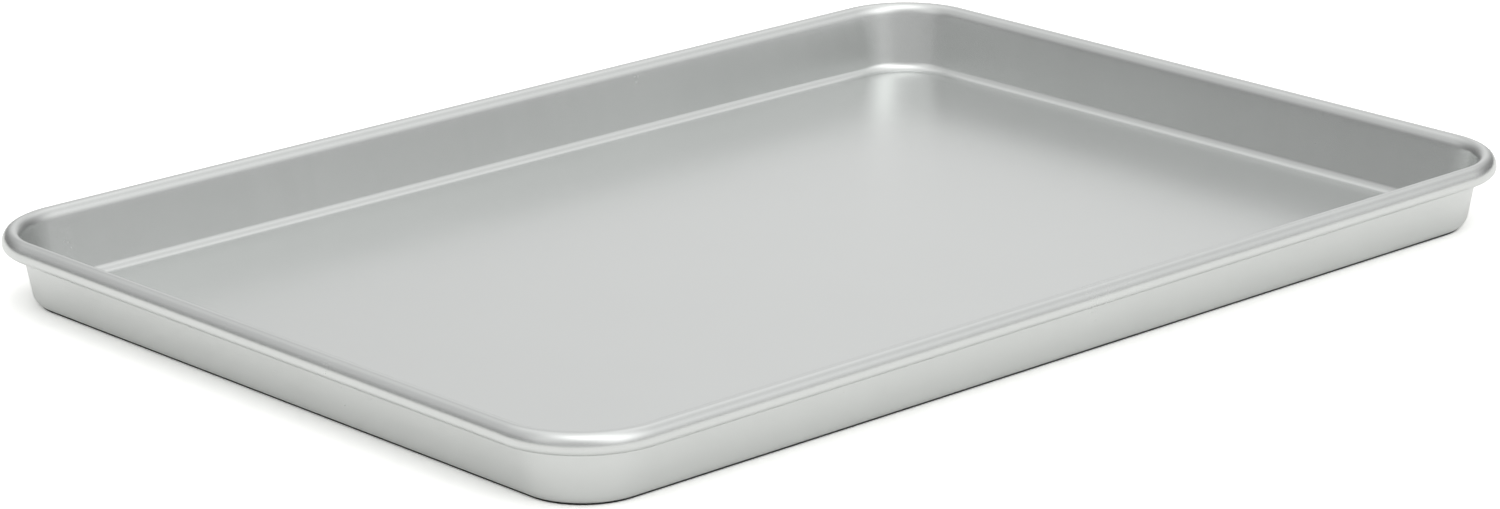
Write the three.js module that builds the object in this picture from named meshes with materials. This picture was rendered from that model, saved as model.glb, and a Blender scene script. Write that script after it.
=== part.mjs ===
// Rimmed cookie sheet: a shallow pan pressed from one steel sheet, its edge rolled outwards round a wire.
// Millimetres, +Z up. The origin is the middle of the underside, and +X runs along the long sides.
import * as THREE from "three";

// Overall size, measured over the rim
const LENGTH = 431.8;
const WIDTH = 304.8;
const HEIGHT = 25.4;
const CORNER_RADIUS = 32;

// Pressed sheet. The bend radius is the one on the inside of the bend.
const SHEET_THICKNESS = 0.8;
const WALL_DRAFT_DEGREES = 10;
const BASE_BEND_RADIUS = 3.6;

// Wire in the rim, and its clearance to the sheet under it
const WIRE_DIAMETER = 4.4;
const WIRE_CLEARANCE = 0.3;
const WIRE_END_GAP = 1;

// Rolled edge: room beside and over the wire, how far the roll drops below its widest line, and the slit
// that the edge leaves beside the wall
const ROLL_SIDE_PLAY = 0.4;
const ROLL_TOP_PLAY = 0.9;
const ROLL_DROP = 2.6;
const ROLL_SLIT = 0.6;

// Facets in each corner of the plan, each quarter bend of the sheet, the roll's underside and the wire
const CORNER_STEPS = 10;
const BEND_STEPS = 6;
const ROLL_STEPS = 10;
const WIRE_SIDES = 12;

const CORNERS = [0, 1, 2, 3];
const QUARTER_TURN = Math.PI / 2;
const UP = QUARTER_TURN;
const DOWN = -QUARTER_TURN;

// A section is drawn at a corner of the pan: x is the distance from the upright axis that the corner
// is rounded about, and y is the height.
const draft = THREE.MathUtils.degToRad(WALL_DRAFT_DEGREES);
const wallInwardsAngle = Math.PI - draft;
const wallOutwardsAngle = -draft;

const baseOutside = BASE_BEND_RADIUS + SHEET_THICKNESS;

// The roll is two half ovals that meet at its widest line: one rises over the wire, one drops under it.
// Its top and its widest line set the overall size.
const wireRadius = WIRE_DIAMETER / 2;
const wireRise = wireRadius + WIRE_CLEARANCE + SHEET_THICKNESS - ROLL_DROP;
const rollRise = wireRise + wireRadius + ROLL_TOP_PLAY + SHEET_THICKNESS;
const rollReach = wireRadius + ROLL_SIDE_PLAY + SHEET_THICKNESS;
const rollCentre = new THREE.Vector2(CORNER_RADIUS - rollReach, HEIGHT - rollRise);

// The wall's inside face touches the roll and the base bend, and its slope sets how far apart they lie.
const wallOffset = Math.hypot(rollReach * Math.cos(draft), rollRise * Math.sin(draft));
const wallRun = (rollCentre.y - baseOutside) * Math.sin(draft) + wallOffset + BASE_BEND_RADIUS;
const baseBendCentre = new THREE.Vector2(rollCentre.x - wallRun / Math.cos(draft), baseOutside);

// The rolled edge goes past the bottom of the roll until only the slit is left to the wall's outside,
// measured at the level of the roll's underside.
const wallBeside = (wallOffset - SHEET_THICKNESS + ROLL_DROP * Math.sin(draft)) / Math.cos(draft);
const edgeRun = wallBeside - ROLL_SLIT;
const rollPastBottom = Math.atan2(edgeRun * ROLL_DROP, rollReach * Math.sqrt(rollReach ** 2 - edgeRun ** 2));
const rollEnd = DOWN - rollPastBottom;

function arc(centre, radius, from, to, steps) {
  const clockwise = to < from;
  return new THREE.ArcCurve(centre.x, centre.y, radius, from, to, clockwise).getPoints(steps);
}

// Points on a half oval of the roll, or on the line an inset inside it, where the sheet's outward normal
// turns evenly from one angle to another
function rollBend(height, inset, from, to, steps) {
  return Array.from({ length: steps + 1 }, (_, step) => {
    const angle = THREE.MathUtils.lerp(from, to, step / steps);
    const normal = new THREE.Vector2(Math.cos(angle), Math.sin(angle));
    const size = new THREE.Vector2(rollReach, height);
    const stretch = size.clone().multiply(normal).length();
    const onOval = size.clone().multiply(size).multiply(normal).divideScalar(stretch);
    return onOval.addScaledVector(normal, -inset).add(rollCentre);
  });
}

// One side of the rolled sheet, from the wall to the edge, with points at the top and the widest line
function rollSide(inset) {
  return [
    ...rollBend(rollRise, inset, wallInwardsAngle, UP, BEND_STEPS),
    ...rollBend(rollRise, inset, UP, 0, BEND_STEPS).slice(1),
    ...rollBend(ROLL_DROP, inset, 0, rollEnd, ROLL_STEPS).slice(1),
  ];
}

// The sheet's section: along the floor, up the inside of the wall and over the rim to the rolled edge,
// then back along the other side of the sheet to the underside.
function sheetSection() {
  return [
    new THREE.Vector2(0, SHEET_THICKNESS),
    ...arc(baseBendCentre, BASE_BEND_RADIUS, DOWN, wallOutwardsAngle, BEND_STEPS),
    ...rollSide(0),
    ...rollSide(SHEET_THICKNESS).reverse(),
    ...arc(baseBendCentre, baseOutside, wallOutwardsAngle, DOWN, BEND_STEPS),
    new THREE.Vector2(0, 0),
  ];
}

function cornerAxis(corner) {
  const middle = (corner + 0.5) * QUARTER_TURN;
  return new THREE.Vector2(
    Math.sign(Math.cos(middle)) * (LENGTH / 2 - CORNER_RADIUS),
    Math.sign(Math.sin(middle)) * (WIDTH / 2 - CORNER_RADIUS),
  );
}

// A station is a place on the rectangle of corner axes, with the direction that faces outwards there.
function cornerStations(corner) {
  const axis = cornerAxis(corner);
  return Array.from({ length: CORNER_STEPS + 1 }, (_, step) => {
    const angle = (corner + step / CORNER_STEPS) * QUARTER_TURN;
    return { axis, outwards: new THREE.Vector2(Math.cos(angle), Math.sin(angle)) };
  });
}

// The wire's ends face each other in the middle of the back, which is the long side at +Y.
function wireEndStation(side) {
  const axis = new THREE.Vector2((side * WIRE_END_GAP) / 2, cornerAxis(0).y);
  return { axis, outwards: new THREE.Vector2(0, 1) };
}

function ringAt({ axis, outwards }, section) {
  return section.map(
    ({ x, y }) => new THREE.Vector3(axis.x + outwards.x * x, axis.y + outwards.y * x, y),
  );
}

function quad(a, b, c, d) {
  return [
    [a, b, c],
    [a, c, d],
  ];
}

function fan(points) {
  return points.slice(2).map((point, i) => [points[0], points[i + 1], point]);
}

// The faces between each ring and the next one
function skin(rings) {
  return rings.slice(1).flatMap((next, i) => {
    const ring = rings[i];
    return ring.slice(1).flatMap((point, j) => quad(ring[j], point, next[j + 1], next[j]));
  });
}

// Triangles whose corners fall together, as at a corner axis, are left out.
function solid(triangles) {
  const whole = triangles.filter(([a, b, c]) => !a.equals(b) && !b.equals(c) && !c.equals(a));
  const geometry = new THREE.BufferGeometry().setFromPoints(whole.flat());
  geometry.computeVertexNormals();
  return geometry;
}

function panGeometry() {
  const section = sheetSection();
  const rings = CORNERS.flatMap(cornerStations).map((station) => ringAt(station, section));
  const middle = (height) => CORNERS.map(cornerAxis).map(({ x, y }) => new THREE.Vector3(x, y, height));
  return solid([
    ...skin([...rings, rings[0]]),
    ...quad(...middle(SHEET_THICKNESS)),
    ...quad(...middle(0).reverse()),
  ]);
}

// One length of round wire in the roll, from one end in the middle of the back to the other
function wireGeometry() {
  const circle = arc(new THREE.Vector2(rollCentre.x, 0), wireRadius, 0, -2 * Math.PI, WIRE_SIDES);
  const backLeftFirst = [1, 2, 3, 0];
  const stations = [wireEndStation(-1), ...backLeftFirst.flatMap(cornerStations), wireEndStation(1)];
  const rings = stations.map((station) => ringAt(station, circle));
  const first = rings.at(0).slice(1);
  const last = rings.at(-1).slice(1);
  return solid([...skin(rings), ...fan(first.reverse()), ...fan(last)]);
}

const coatedSteel = new THREE.MeshStandardMaterial({ color: 0xc6c7c7, metalness: 0.85, roughness: 0.35 });
const wireSteel = new THREE.MeshStandardMaterial({ color: 0x9a9c9e, metalness: 1, roughness: 0.45 });

const panBody = new THREE.Mesh(panGeometry(), coatedSteel);
panBody.name = "pan_body";

const rimWire = new THREE.Mesh(wireGeometry(), wireSteel);
rimWire.name = "rim_wire";
rimWire.position.z = rollCentre.y + wireRise;

const cookieSheet = new THREE.Group();
cookieSheet.add(panBody, rimWire);

export default cookieSheet;
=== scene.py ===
# %% [markdown]
# # A rimmed cookie sheet
#
# The object is a shallow baking pan, pressed from one sheet of steel. Its edge is rolled outwards round a
# stiffening wire, and a satin silver-grey coat covers the whole sheet. The construction model holds both
# pieces at their real size. It is loaded first, as a frame that nothing below moves or resizes.

# %% Load the frame
import math

import bpy
import numpy as np
from mathutils import Matrix, Vector


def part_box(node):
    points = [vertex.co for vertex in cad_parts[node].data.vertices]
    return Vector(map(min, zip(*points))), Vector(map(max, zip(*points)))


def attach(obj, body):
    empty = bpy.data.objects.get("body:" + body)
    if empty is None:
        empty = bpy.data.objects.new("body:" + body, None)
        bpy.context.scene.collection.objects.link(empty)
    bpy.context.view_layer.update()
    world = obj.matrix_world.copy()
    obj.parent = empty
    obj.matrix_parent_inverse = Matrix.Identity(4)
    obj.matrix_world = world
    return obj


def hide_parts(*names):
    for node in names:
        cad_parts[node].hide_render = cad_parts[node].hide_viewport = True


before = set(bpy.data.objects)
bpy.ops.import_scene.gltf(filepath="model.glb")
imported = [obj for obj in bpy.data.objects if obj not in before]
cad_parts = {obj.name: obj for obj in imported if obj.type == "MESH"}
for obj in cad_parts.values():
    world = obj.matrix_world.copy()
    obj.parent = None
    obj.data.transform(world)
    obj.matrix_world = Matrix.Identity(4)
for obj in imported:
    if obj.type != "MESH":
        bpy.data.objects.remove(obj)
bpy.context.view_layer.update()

print("CAD nodes:", ", ".join(sorted(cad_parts)))

# %% [markdown]
# ## Sizes
#
# The overall size and the wire's diameter are read from the frame. The bends can't be read from a box, so
# they are repeated here as real sizes. Everything else follows: a sheet keeps its thickness round a bend,
# the roll is a little wider and higher than the wire that lies in it, and the wall is the straight line
# that touches the bend below it and the roll above it.

# %% Sizes of the sheet
MM = 0.001
pan_low, pan_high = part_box("pan_body")
wire_low, wire_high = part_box("rim_wire")

LENGTH, WIDTH, HEIGHT = pan_high - pan_low
WIRE_DIAMETER = wire_high.z - wire_low.z
CORNER_RADIUS = 32 * MM
SHEET_THICKNESS = 0.8 * MM
WALL_DRAFT = math.radians(10)
BASE_BEND_RADIUS = 3.6 * MM
WIRE_CLEARANCE = 0.3 * MM
ROLL_SIDE_PLAY = 0.4 * MM
ROLL_TOP_PLAY = 0.9 * MM
ROLL_DROP = 2.6 * MM
ROLL_SLIT = 0.6 * MM

base_outside = BASE_BEND_RADIUS + SHEET_THICKNESS
wire_radius = WIRE_DIAMETER / 2

# The roll is two half ovals that meet at its widest line: one rises over the wire, one drops under it
roll_reach = wire_radius + ROLL_SIDE_PLAY + SHEET_THICKNESS
wire_rise = wire_radius + WIRE_CLEARANCE + SHEET_THICKNESS - ROLL_DROP
roll_rise = wire_rise + wire_radius + ROLL_TOP_PLAY + SHEET_THICKNESS
roll_over = np.array([roll_reach, roll_rise])
roll_under = np.array([roll_reach, ROLL_DROP])

# A place in the section: distance from the upright axis that a corner is rounded about, then height
roll_centre = np.array([CORNER_RADIUS - roll_reach, HEIGHT - roll_rise])
wall_offset = math.hypot(roll_reach * math.cos(WALL_DRAFT), roll_rise * math.sin(WALL_DRAFT))
wall_run = (roll_centre[1] - base_outside) * math.sin(WALL_DRAFT) + wall_offset + BASE_BEND_RADIUS
base_bend_centre = np.array([roll_centre[0] - wall_run / math.cos(WALL_DRAFT), base_outside])

print(f"pan {LENGTH / MM:.1f} x {WIDTH / MM:.1f} x {HEIGHT / MM:.1f} mm, wire {WIRE_DIAMETER / MM:.2f} mm")
print(f"roll {2 * roll_reach / MM:.1f} mm across and {(roll_rise + ROLL_DROP) / MM:.1f} mm high")
print(f"wall foot {base_bend_centre[0] / MM:.2f} mm from the axis")

# %% [markdown]
# ## The section of the sheet
#
# Cut the pan anywhere and the sheet shows the same line: up from the floor round a bend, up the sloped
# wall, high over the wire and back under it until the edge nearly meets the wall again. Drawing it by hand
# as points would leave flats in the reflections, so each bend is an oval with many steps, spaced so that the
# surface turns by the same angle at each one. The line goes out along the food side and comes back along
# the underside, which gives the sheet its thickness.

# %% Section of the sheet
UP = math.pi / 2
DOWN = -math.pi / 2
WALL_STEPS = 10
BEND_STEPS = 20
RIM_STEPS = 16
ROLL_STEPS = 32
EDGE_STEPS = 6


def bend(centre, size, start, end, steps, inset=0):
    """Points on an oval, or on the line an inset inside it, whose outward normal turns evenly.

    The size is the oval's half width and half height, or one number for a circle. The point with a given
    normal is the centre plus size squared times the normal, divided by the length of size times the normal.
    """
    angles = np.linspace(start, end, steps + 1)
    normals = np.column_stack([np.cos(angles), np.sin(angles)])
    lengths = np.linalg.norm(size * normals, axis=1, keepdims=True)
    return centre + size**2 * normals / lengths - inset * normals


def between(start, end, steps):
    """Points that part a straight line into even steps: start plus a share of the way to end."""
    share = np.arange(1, steps)[:, None] / steps
    return start + share * (end - start)


def sheet_section():
    """The closed line round the sheet: food side, rolled edge, underside, as (distance, height) rows.

    The cut edge is a half circle across the thickness. It lies where only the slit is left between its tip
    and the wall's outside, at the level of the roll's underside.
    """
    edge_radius = SHEET_THICKNESS / 2
    wall_beside = (wall_offset - SHEET_THICKNESS + ROLL_DROP * math.sin(WALL_DRAFT)) / math.cos(WALL_DRAFT)
    edge_run = wall_beside - ROLL_SLIT - edge_radius
    past_bottom = math.atan2(edge_run * ROLL_DROP, roll_reach * math.sqrt(roll_reach**2 - edge_run**2))
    roll_end = DOWN - past_bottom
    edge_centre = bend(roll_centre, roll_under, roll_end, roll_end, 0, edge_radius)
    wall_side = math.pi - WALL_DRAFT

    floor_bend = bend(base_bend_centre, BASE_BEND_RADIUS, DOWN, -WALL_DRAFT, BEND_STEPS)
    rim_inner = bend(roll_centre, roll_over, wall_side, UP, RIM_STEPS)
    rim_outer = bend(roll_centre, roll_over, UP, 0, RIM_STEPS)
    roll_skin = bend(roll_centre, roll_under, 0, roll_end, ROLL_STEPS)
    cut_edge = bend(edge_centre, edge_radius, roll_end, roll_end - math.pi, EDGE_STEPS)
    roll_lining = bend(roll_centre, roll_under, roll_end, 0, ROLL_STEPS, SHEET_THICKNESS)
    outer_lining = bend(roll_centre, roll_over, 0, UP, RIM_STEPS, SHEET_THICKNESS)
    inner_lining = bend(roll_centre, roll_over, UP, wall_side, RIM_STEPS, SHEET_THICKNESS)
    under_bend = bend(base_bend_centre, base_outside, -WALL_DRAFT, DOWN, BEND_STEPS)
    return np.concatenate([
        floor_bend,
        between(floor_bend[-1], rim_inner[0], WALL_STEPS),
        rim_inner,
        rim_outer[1:],
        roll_skin[1:],
        cut_edge[1:-1],
        roll_lining,
        outer_lining[1:],
        inner_lining[1:],
        between(inner_lining[-1], under_bend[0], WALL_STEPS),
        under_bend,
    ])


section = sheet_section()
print(f"section: {len(section)} points")

# %% [markdown]
# ## Stations round the plan
#
# The pan is a lathe shape pulled apart: each corner turns the section a quarter round its own upright
# axis, and each side carries it straight to the next corner. One list of stations covers both. A station
# is a place on the rectangle of the four axes, with the direction that faces outwards there.

# %% Stations
CORNER_STEPS = 40
SIDE_STEPS = 16
corner = np.arange(4)[:, None]


def plan_stations():
    """Axis places and outward directions, both as rows of (x, y), counter-clockwise from the +X side.

    In corner k the direction turns evenly from k to k + 1 quarter turns while the axis stays. Along the
    side that follows, the direction stays while the axis moves evenly to the next corner's.
    """
    half_size = np.array([LENGTH / 2 - CORNER_RADIUS, WIDTH / 2 - CORNER_RADIUS])
    middle = (np.arange(4) + 0.5) * UP
    axes = np.sign(np.column_stack([np.cos(middle), np.sin(middle)])) * half_size
    next_axes = np.roll(axes, -1, axis=0)

    turn = np.linspace(0, 1, CORNER_STEPS + 1)
    share = np.arange(1, SIDE_STEPS) / SIDE_STEPS
    quarters = np.concatenate([corner + turn, np.broadcast_to(corner + 1, (4, len(share)))], axis=1)
    moved = np.concatenate([np.zeros(len(turn)), share])
    places = axes[:, None] + moved[None, :, None] * (next_axes - axes)[:, None]
    outwards = np.stack([np.cos(quarters * UP), np.sin(quarters * UP)], axis=-1)
    return places.reshape(-1, 2), outwards.reshape(-1, 2)


places, outwards = plan_stations()
print(f"stations: {len(places)} round the plan")

# %% [markdown]
# ## The pan as one surface
#
# A grid with one row for each station and one column for each point of the section gives the wall, the
# rim and the bends. The floor could be one big face, but shading would bleed across it from the bend. So
# the grid goes on inwards in rings that shrink to the middle, with the first ones close to the bend, and
# one point closes the middle on each side. The result is a closed skin, as thick as the sheet.
#
# The grid also gives each point its place along the sheet. Pressing leaves marks that run up the walls and
# round the corners, and a pattern can only follow them if it knows that place. The way round the pan is
# written as a point on a circle of the same length, so that the pattern has no seam.

# %% Surface of the pan
FLOOR_RINGS = 24
RING_CROWDING = 3


def floor_rings(edge):
    """Rings from the middle out to a floor's edge, as (station, ring, xyz), without the middle and the edge.

    A ring is the edge shrunk towards the middle by 1 minus a share of the way in, and the share is raised
    to a power, which crowds the rings at the edge.
    """
    inwards = np.linspace(1, 0, FLOOR_RINGS + 1)[1:-1]
    shrink = 1 - inwards**RING_CROWDING
    flat = edge[:, None, :2] * shrink[None, :, None]
    height = np.broadcast_to(edge[:, None, 2:], (*flat.shape[:2], 1))
    return np.concatenate([flat, height], axis=-1)


def sheet_grid():
    """Every point of the skin: station's axis plus outward direction times distance, at the height."""
    flat = places[:, None] + outwards[:, None] * section[None, :, :1]
    height = np.broadcast_to(section[None, :, 1:], (*flat.shape[:2], 1))
    walls = np.concatenate([flat, height], axis=-1)
    floor = floor_rings(walls[:, 0])
    underside = floor_rings(walls[:, -1])[:, ::-1]
    return np.concatenate([floor, walls, underside], axis=1)


def sheet_run(grid):
    """Place along the sheet: a point on a circle as long as the way round, then distance up the section.

    Both distances are sums of the steps between neighbours, the way round taken along the wall's middle.
    """
    wall_middle = FLOOR_RINGS - 1 + BEND_STEPS + WALL_STEPS // 2
    round_steps = np.linalg.norm(np.diff(grid[:, wall_middle], axis=0, append=grid[:1, wall_middle]), axis=-1)
    round_length = round_steps.sum()
    angle = 2 * math.pi * (np.cumsum(round_steps) - round_steps) / round_length
    up_steps = np.linalg.norm(np.diff(grid, axis=1, prepend=grid[:, :1]), axis=-1)
    circle = np.column_stack([np.cos(angle), np.sin(angle)]) * round_length / (2 * math.pi)
    circle = np.broadcast_to(circle[:, None], (*grid.shape[:2], 2))
    return np.concatenate([circle, np.cumsum(up_steps, axis=1)[..., None]], axis=-1)


def closed_faces(rows, columns):
    """Quads between neighbours on a grid whose last row meets its first, and a fan at each pole.

    The point in row r and column c has number r * columns + c. The poles are the two numbers after the grid.
    """
    number = np.arange(rows * columns).reshape(rows, columns)
    after = np.roll(number, -1, axis=0)
    quads = np.stack([number[:, :-1], number[:, 1:], after[:, 1:], after[:, :-1]], axis=-1).reshape(-1, 4)
    first_pole, last_pole = rows * columns + np.arange(2)
    first_fan = np.column_stack([np.full(rows, first_pole), number[:, 0], after[:, 0]])
    last_fan = np.column_stack([number[:, -1], np.full(rows, last_pole), after[:, -1]])
    return quads.tolist() + first_fan.tolist() + last_fan.tolist()


def make_pan():
    grid = sheet_grid()
    run = sheet_run(grid)
    poles = grid[:, [0, -1]].mean(axis=0)
    pole_runs = run[:, [0, -1]].mean(axis=0)
    points = np.concatenate([grid.reshape(-1, 3), poles])
    runs = np.concatenate([run.reshape(-1, 3), pole_runs])

    mesh = bpy.data.meshes.new("pan_skin")
    mesh.from_pydata(points, [], closed_faces(*grid.shape[:2]))
    attribute = mesh.attributes.new("sheet_run", "FLOAT_VECTOR", "POINT")
    attribute.data.foreach_set("vector", runs.astype(np.float32).ravel())
    mesh.shade_smooth()
    pan = bpy.data.objects.new("pan_skin", mesh)
    bpy.context.scene.collection.objects.link(pan)
    return pan


pan = make_pan()
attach(pan, "root")
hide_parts("pan_body")
pan.data.calc_loop_triangles()
print(f"pan skin: {len(pan.data.vertices)} points, {len(pan.data.loop_triangles)} triangles")

# %% [markdown]
# ## Writing materials as sums
#
# A material is a tree of nodes, and wiring each node by hand hides the idea behind it. The class below
# wraps one socket. Python sums on it add Math nodes, and one method adds any other node, so a finish reads
# as the formula that it is.

# %% Sockets as values


class Value:
    """A socket in a node tree. An operator adds a Math node and gives its result as a new Value."""

    def __init__(self, tree, socket=None):
        self.tree = tree
        self.socket = socket

    def node(self, kind, settings=None, inputs=None, output=0):
        """Adds a node, sets its settings, then fills its inputs with numbers, colours or other Values."""
        made = self.tree.nodes.new(kind)
        for name, setting in (settings or {}).items():
            setattr(made, name, setting)
        for name, given in (inputs or {}).items():
            if isinstance(given, Value):
                self.tree.links.new(given.socket, made.inputs[name])
            else:
                made.inputs[name].default_value = given
        return Value(self.tree, made.outputs[output] if made.outputs else None)

    def math(self, operation, first, second):
        return self.node("ShaderNodeMath", {"operation": operation}, {0: first, 1: second})

    def __add__(self, other):
        return self.math("ADD", self, other)

    __radd__ = __add__

    def __sub__(self, other):
        return self.math("SUBTRACT", self, other)

    def __rsub__(self, other):
        return self.math("SUBTRACT", other, self)

    def __mul__(self, other):
        return self.math("MULTIPLY", self, other)

    __rmul__ = __mul__


def new_material(name):
    """An empty material, and a Value to start its nodes from."""
    material = bpy.data.materials.new(name)
    material.use_nodes = True
    material.node_tree.nodes.clear()
    return material, Value(material.node_tree)


def noise(shader, place, size, detail):
    """Cloudy noise about zero, from -0.5 to 0.5, whose patches are about as wide as the size."""
    inputs = {"Vector": place, "Scale": 1 / size, "Detail": detail}
    return shader.node("ShaderNodeTexNoise", {}, inputs) - 0.5


def mixed_colour(shader, share, first, second):
    """A colour that goes from the first to the second as the share goes from 0 to 1."""
    settings = {"data_type": "RGBA"}
    return shader.node("ShaderNodeMix", settings, {0: share, 6: (*first, 1), 7: (*second, 1)}, output=2)


print("shader values ready")

# %% [markdown]
# ## The coat on the sheet
#
# The coat is a satin silver-grey film with metal flake in it. It shows broad, soft reflections: the walls
# appear in the floor as a haze that fades within a few centimetres. Three things break up a flat grey.
# Flake gives a grain finer than a millimetre, the film is a little thicker or thinner in patches of a few
# centimetres, and pressing draws faint streaks up the walls. Noise on object coordinates makes the first
# two. The streaks are noise on the place along the sheet, stretched up the section and kept off the floor.

# %% Coat
COAT_DARK = (0.666, 0.680, 0.671)
COAT_LIGHT = (0.716, 0.730, 0.721)
COAT_ROUGHNESS = 0.26
FLAKE_SIZE = 0.45 * MM
PATCH_SIZE = 45 * MM
STREAK_SIZE = 5 * MM
STREAK_STRETCH = 0.04
STREAKS_FROM = 1.5 * MM
STREAKS_FULL = 6 * MM
FLAKE_DEPTH = 0.0015 * MM
FLAKE_TONE = 0.4
PATCH_TONE = 0.6
STREAK_TONE = 0.5
ROUGHNESS_SPREAD = 0.03


def coat_material():
    material, shader = new_material("satin_coat")
    place = shader.node("ShaderNodeTexCoord", output="Object")
    run = shader.node("ShaderNodeAttribute", {"attribute_name": "sheet_run"}, output="Vector")
    streak_place = shader.node(
        "ShaderNodeVectorMath", {"operation": "MULTIPLY"}, {0: run, 1: (1, 1, STREAK_STRETCH)}
    )
    height = shader.node("ShaderNodeSeparateXYZ", {}, {0: place}, output="Z")
    on_wall = shader.node(
        "ShaderNodeMapRange",
        {"interpolation_type": "SMOOTHSTEP"},
        {"Value": height, "From Min": STREAKS_FROM, "From Max": STREAKS_FULL},
    )
    flake = noise(shader, place, FLAKE_SIZE, detail=2)
    patch = noise(shader, place, PATCH_SIZE, detail=3)
    streak = noise(shader, streak_place, STREAK_SIZE, detail=3) * on_wall

    tone = 0.5 + FLAKE_TONE * flake + PATCH_TONE * patch + STREAK_TONE * streak
    relief = shader.node(
        "ShaderNodeBump", {}, {"Height": flake, "Distance": FLAKE_DEPTH, "Strength": 1.0}
    )
    coat = shader.node("ShaderNodeBsdfPrincipled", {}, {
        "Base Color": mixed_colour(shader, tone, COAT_DARK, COAT_LIGHT),
        "Metallic": 1.0,
        "Roughness": COAT_ROUGHNESS + ROUGHNESS_SPREAD * (flake + patch + streak),
        "Normal": relief,
    })
    shader.node("ShaderNodeOutputMaterial", {}, {"Surface": coat})
    return material


pan.data.materials.append(coat_material())
print("coat on", pan.name)

# %% [markdown]
# ## The wire
#
# Almost none of the wire shows: only a low view finds it through the slit under the rim. It is plain round
# stock, so the construction model's own piece stays. Galvanised wire is duller than the coat and has a
# mottled look of small zinc crystals, which cell noise gives.

# %% Zinc on the wire
ZINC_DARK = (0.38, 0.39, 0.40)
ZINC_LIGHT = (0.54, 0.55, 0.56)
ZINC_ROUGHNESS = 0.42
ZINC_ROUGHNESS_SPREAD = 0.15
CRYSTAL_SIZE = 2.5 * MM


def zinc_material():
    material, shader = new_material("galvanised_wire")
    place = shader.node("ShaderNodeTexCoord", output="Object")
    inputs = {"Vector": place, "Scale": 1 / CRYSTAL_SIZE}
    crystal = shader.node("ShaderNodeTexVoronoi", {}, inputs, output="Color")
    tone = shader.node("ShaderNodeRGBToBW", {}, {0: crystal})
    zinc = shader.node("ShaderNodeBsdfPrincipled", {}, {
        "Base Color": mixed_colour(shader, tone, ZINC_DARK, ZINC_LIGHT),
        "Metallic": 1.0,
        "Roughness": ZINC_ROUGHNESS + ZINC_ROUGHNESS_SPREAD * tone,
    })
    shader.node("ShaderNodeOutputMaterial", {}, {"Surface": zinc})
    return material


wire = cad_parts["rim_wire"]
wire.data.materials.clear()
wire.data.materials.append(zinc_material())
print("zinc on", wire.name)

# %% [markdown]
# ## The floor
#
# The pan stands on a plain white table that runs far out to all sides, so that the picture has no horizon
# in it. A photograph on white is exposed so that the table is just brighter than white, and the pan's soft
# shade on it stays pale. So the camera sees the table in a paler tone than the one that lights the pan, and
# the metal sees a tone between the two. The table still takes the pan's shade.
#
# The bend at the pan's foot leaves a narrow gap to the table, which draws a thin dark line round the foot.
# Light that bounces between a white table and bright metal fills such a gap more than it should, so the
# contact shadow there is painted: a near-black sheet lies in the gap, a little larger than the flat base.

# %% Floor
FLOOR_HALF = 50.0
FLOOR_GAP = 0.1 * MM
FLOOR_PAINT = (0.805, 0.805, 0.79)
FLOOR_SEEN = (1.5, 1.5, 1.48)
METAL_SHARE = 0.33
# Painted shade: a near-black sheet just under the flat base stands in for the contact shadow round the foot.
SHADE_SHEET_DEPTH = 0.05 * MM
SHADE_SHEET_MARGIN = 1.8 * MM
PAINTED_SHADE_COLOUR = (0.1, 0.1, 0.1)


def floor_material():
    material, shader = new_material("white_table")
    paint = shader.node("ShaderNodeBsdfDiffuse", {}, {"Color": (*FLOOR_PAINT, 1)})
    seen = shader.node("ShaderNodeBsdfDiffuse", {}, {"Color": (*FLOOR_SEEN, 1)})
    rays = ("Is Camera Ray", "Is Glossy Ray", "Is Transmission Ray")
    camera, glossy, clear = [shader.node("ShaderNodeLightPath", output=ray) for ray in rays]
    share = camera + METAL_SHARE * (glossy + clear)
    table = shader.node("ShaderNodeMixShader", {}, {0: share, 1: paint, 2: seen})
    shader.node("ShaderNodeOutputMaterial", {}, {"Surface": table})
    return material


# Matt near-black paint for the painted contact shadow under the foot.
def painted_shade_material():
    material, shader = new_material("painted_contact_shade")
    matt = shader.node("ShaderNodeBsdfDiffuse", {}, {"Color": (*PAINTED_SHADE_COLOUR, 1)})
    shader.node("ShaderNodeOutputMaterial", {}, {"Surface": matt})
    return material


def lay_flat(name, outline, depth, material):
    """One flat face through the outline's corners, rows of (x, y), at a depth below the pan's underside."""
    points = np.column_stack([outline, np.full(len(outline), -depth)])
    mesh = bpy.data.meshes.new(name)
    mesh.from_pydata(points, [], [range(len(points))])
    mesh.materials.append(material)
    sheet = bpy.data.objects.new(name, mesh)
    bpy.context.scene.collection.objects.link(sheet)
    return sheet


table_outline = np.array([(-1, -1), (1, -1), (1, 1), (-1, 1)]) * FLOOR_HALF
shade_sheet_outline = places + outwards * (base_bend_centre[0] + SHADE_SHEET_MARGIN)
lay_flat("table", table_outline, FLOOR_GAP, floor_material())
# The sheet of painted shade, reaching a little past the foot.
lay_flat("painted_shade_sheet", shade_sheet_outline, SHADE_SHEET_DEPTH, painted_shade_material())
print("floor:", 2 * FLOOR_HALF, "m square")

# %% [markdown]
# ## Soft studio light
#
# A satin metal shows little of its own colour and much of what stands round it, so the light is built as
# what the metal sees. Softboxes with edges would need many lamps to look as smooth as the photograph. A
# dome is simpler: an even level, and broad lights that fade into it. The brightest stands high behind the
# camera, the next ones overhead and to its right, and the weakest on the far left. Together they give the
# table as much light as makes a colour render as it is written.

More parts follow.
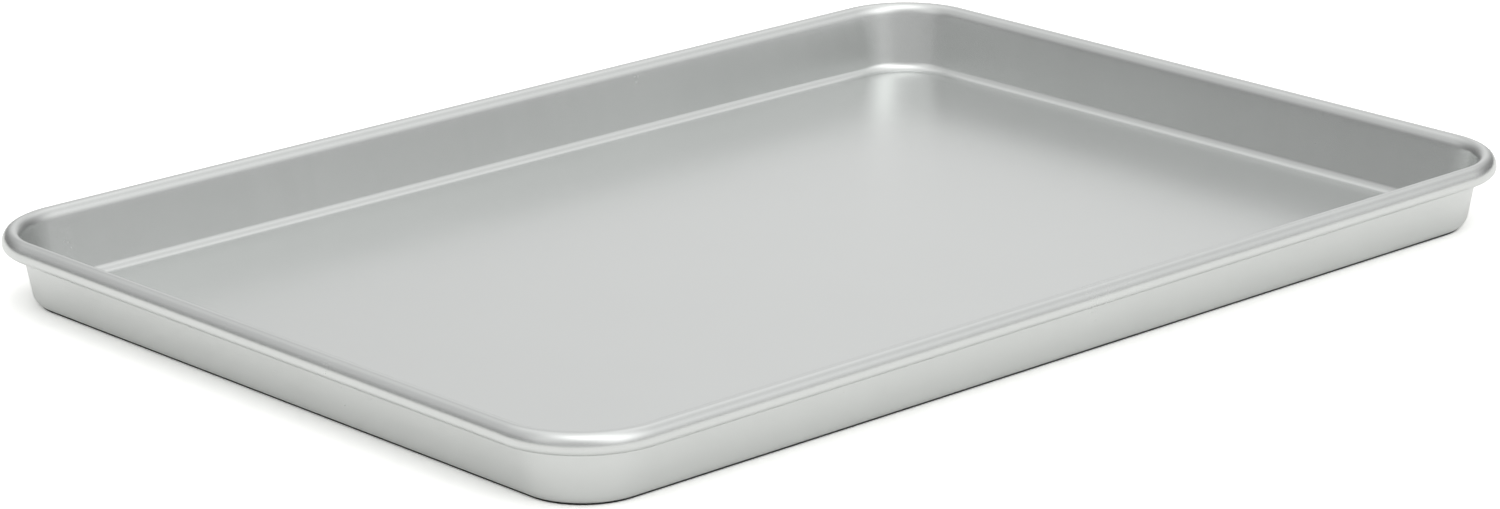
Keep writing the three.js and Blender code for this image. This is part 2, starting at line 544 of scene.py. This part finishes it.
# %% Light
EVEN_LEVEL = 0.25
SOFT_LIGHTS = {
    "overhead": {"heading": 0, "height": 90, "sharpness": 2, "level": 1.09},
    "key": {"heading": 228, "height": 62, "sharpness": 14, "level": 1.16},
    "right_high": {"heading": 270, "height": 40, "sharpness": 14, "level": 0.95},
    "right_low": {"heading": 270, "height": 21, "sharpness": 14, "level": 0.83},
    "right_back": {"heading": 312, "height": 20, "sharpness": 12, "level": 0.8},
    "far_right": {"heading": 10, "height": 48, "sharpness": 14, "level": 0.42},
    "back": {"heading": 45, "height": 14, "sharpness": 14, "level": 0.81},
    "far_left": {"heading": 90, "height": 45, "sharpness": 14, "level": 0.29},
    "left_back": {"heading": 130, "height": 22, "sharpness": 20, "level": 0.43},
    "left": {"heading": 180, "height": 25, "sharpness": 12, "level": 0.6},
    "front": {"heading": 225, "height": 5, "sharpness": 6, "level": 0.46},
}


def soft_light(shader, direction, heading, height, sharpness, level):
    """Level times the cosine of the angle to the light's middle, kept above 0 and raised to the sharpness."""
    heading, height = math.radians(heading), math.radians(height)
    middle = (math.cos(height) * math.cos(heading), math.cos(height) * math.sin(heading), math.sin(height))
    settings = {"operation": "DOT_PRODUCT"}
    cosine = shader.node("ShaderNodeVectorMath", settings, {0: direction, 1: middle}, output="Value")
    return level * shader.math("POWER", shader.math("MAXIMUM", cosine, 0), sharpness)


def make_world():
    world = bpy.data.worlds.new("studio")
    world.use_nodes = True
    world.node_tree.nodes.clear()
    shader = Value(world.node_tree)
    direction = shader.node("ShaderNodeTexCoord", output="Generated")
    dome = EVEN_LEVEL + sum(soft_light(shader, direction, **light) for light in SOFT_LIGHTS.values())
    sky = shader.node("ShaderNodeBackground", {}, {"Strength": dome})
    shader.node("ShaderNodeOutputWorld", {}, {"Surface": sky})
    bpy.context.scene.world = world


make_world()
print("soft lights:", ", ".join(SOFT_LIGHTS))

# %% [markdown]
# ## The camera
#
# The photograph is taken with a long lens from a little above the rim, with one corner of the pan towards
# it. Its place was found by fitting the pan's outline: heading, height and roll, the distance, and how far
# the middle of the picture lies from the middle of the pan's underside.

# %% Camera
SENSOR_WIDTH = 36.0
LENS = 119.27
HEADING = math.radians(47.385)
PITCH = math.radians(17.51)
ROLL = math.radians(-0.523)
DISTANCE = 1.66173
AIM_RIGHT = -5.0 * MM
AIM_UP = 1.835 * MM


def make_camera():
    """The camera looks along heading and pitch, is rolled about that line and stands back by the distance.

    The line is the level heading times the cosine of the pitch, less the upright times its sine.
    """
    level = Vector((math.cos(HEADING), math.sin(HEADING), 0))
    forward = math.cos(PITCH) * level - math.sin(PITCH) * Vector((0, 0, 1))
    right = Vector((math.sin(HEADING), -math.cos(HEADING), 0))
    up = right.cross(forward)
    rolled_right = math.cos(ROLL) * right + math.sin(ROLL) * up
    rolled_up = math.cos(ROLL) * up - math.sin(ROLL) * right

    data = bpy.data.cameras.new("camera")
    data.sensor_width = SENSOR_WIDTH
    data.lens = LENS
    camera = bpy.data.objects.new("camera", data)
    turn = Matrix((rolled_right, rolled_up, -forward)).transposed()
    place = right * AIM_RIGHT + up * AIM_UP - forward * DISTANCE
    camera.matrix_world = Matrix.Translation(place) @ turn.to_4x4()
    bpy.context.scene.collection.objects.link(camera)
    bpy.context.scene.camera = camera
    return camera


camera = make_camera()
bpy.context.scene.view_settings.view_transform = "Standard"
print("camera at", camera.matrix_world.translation)
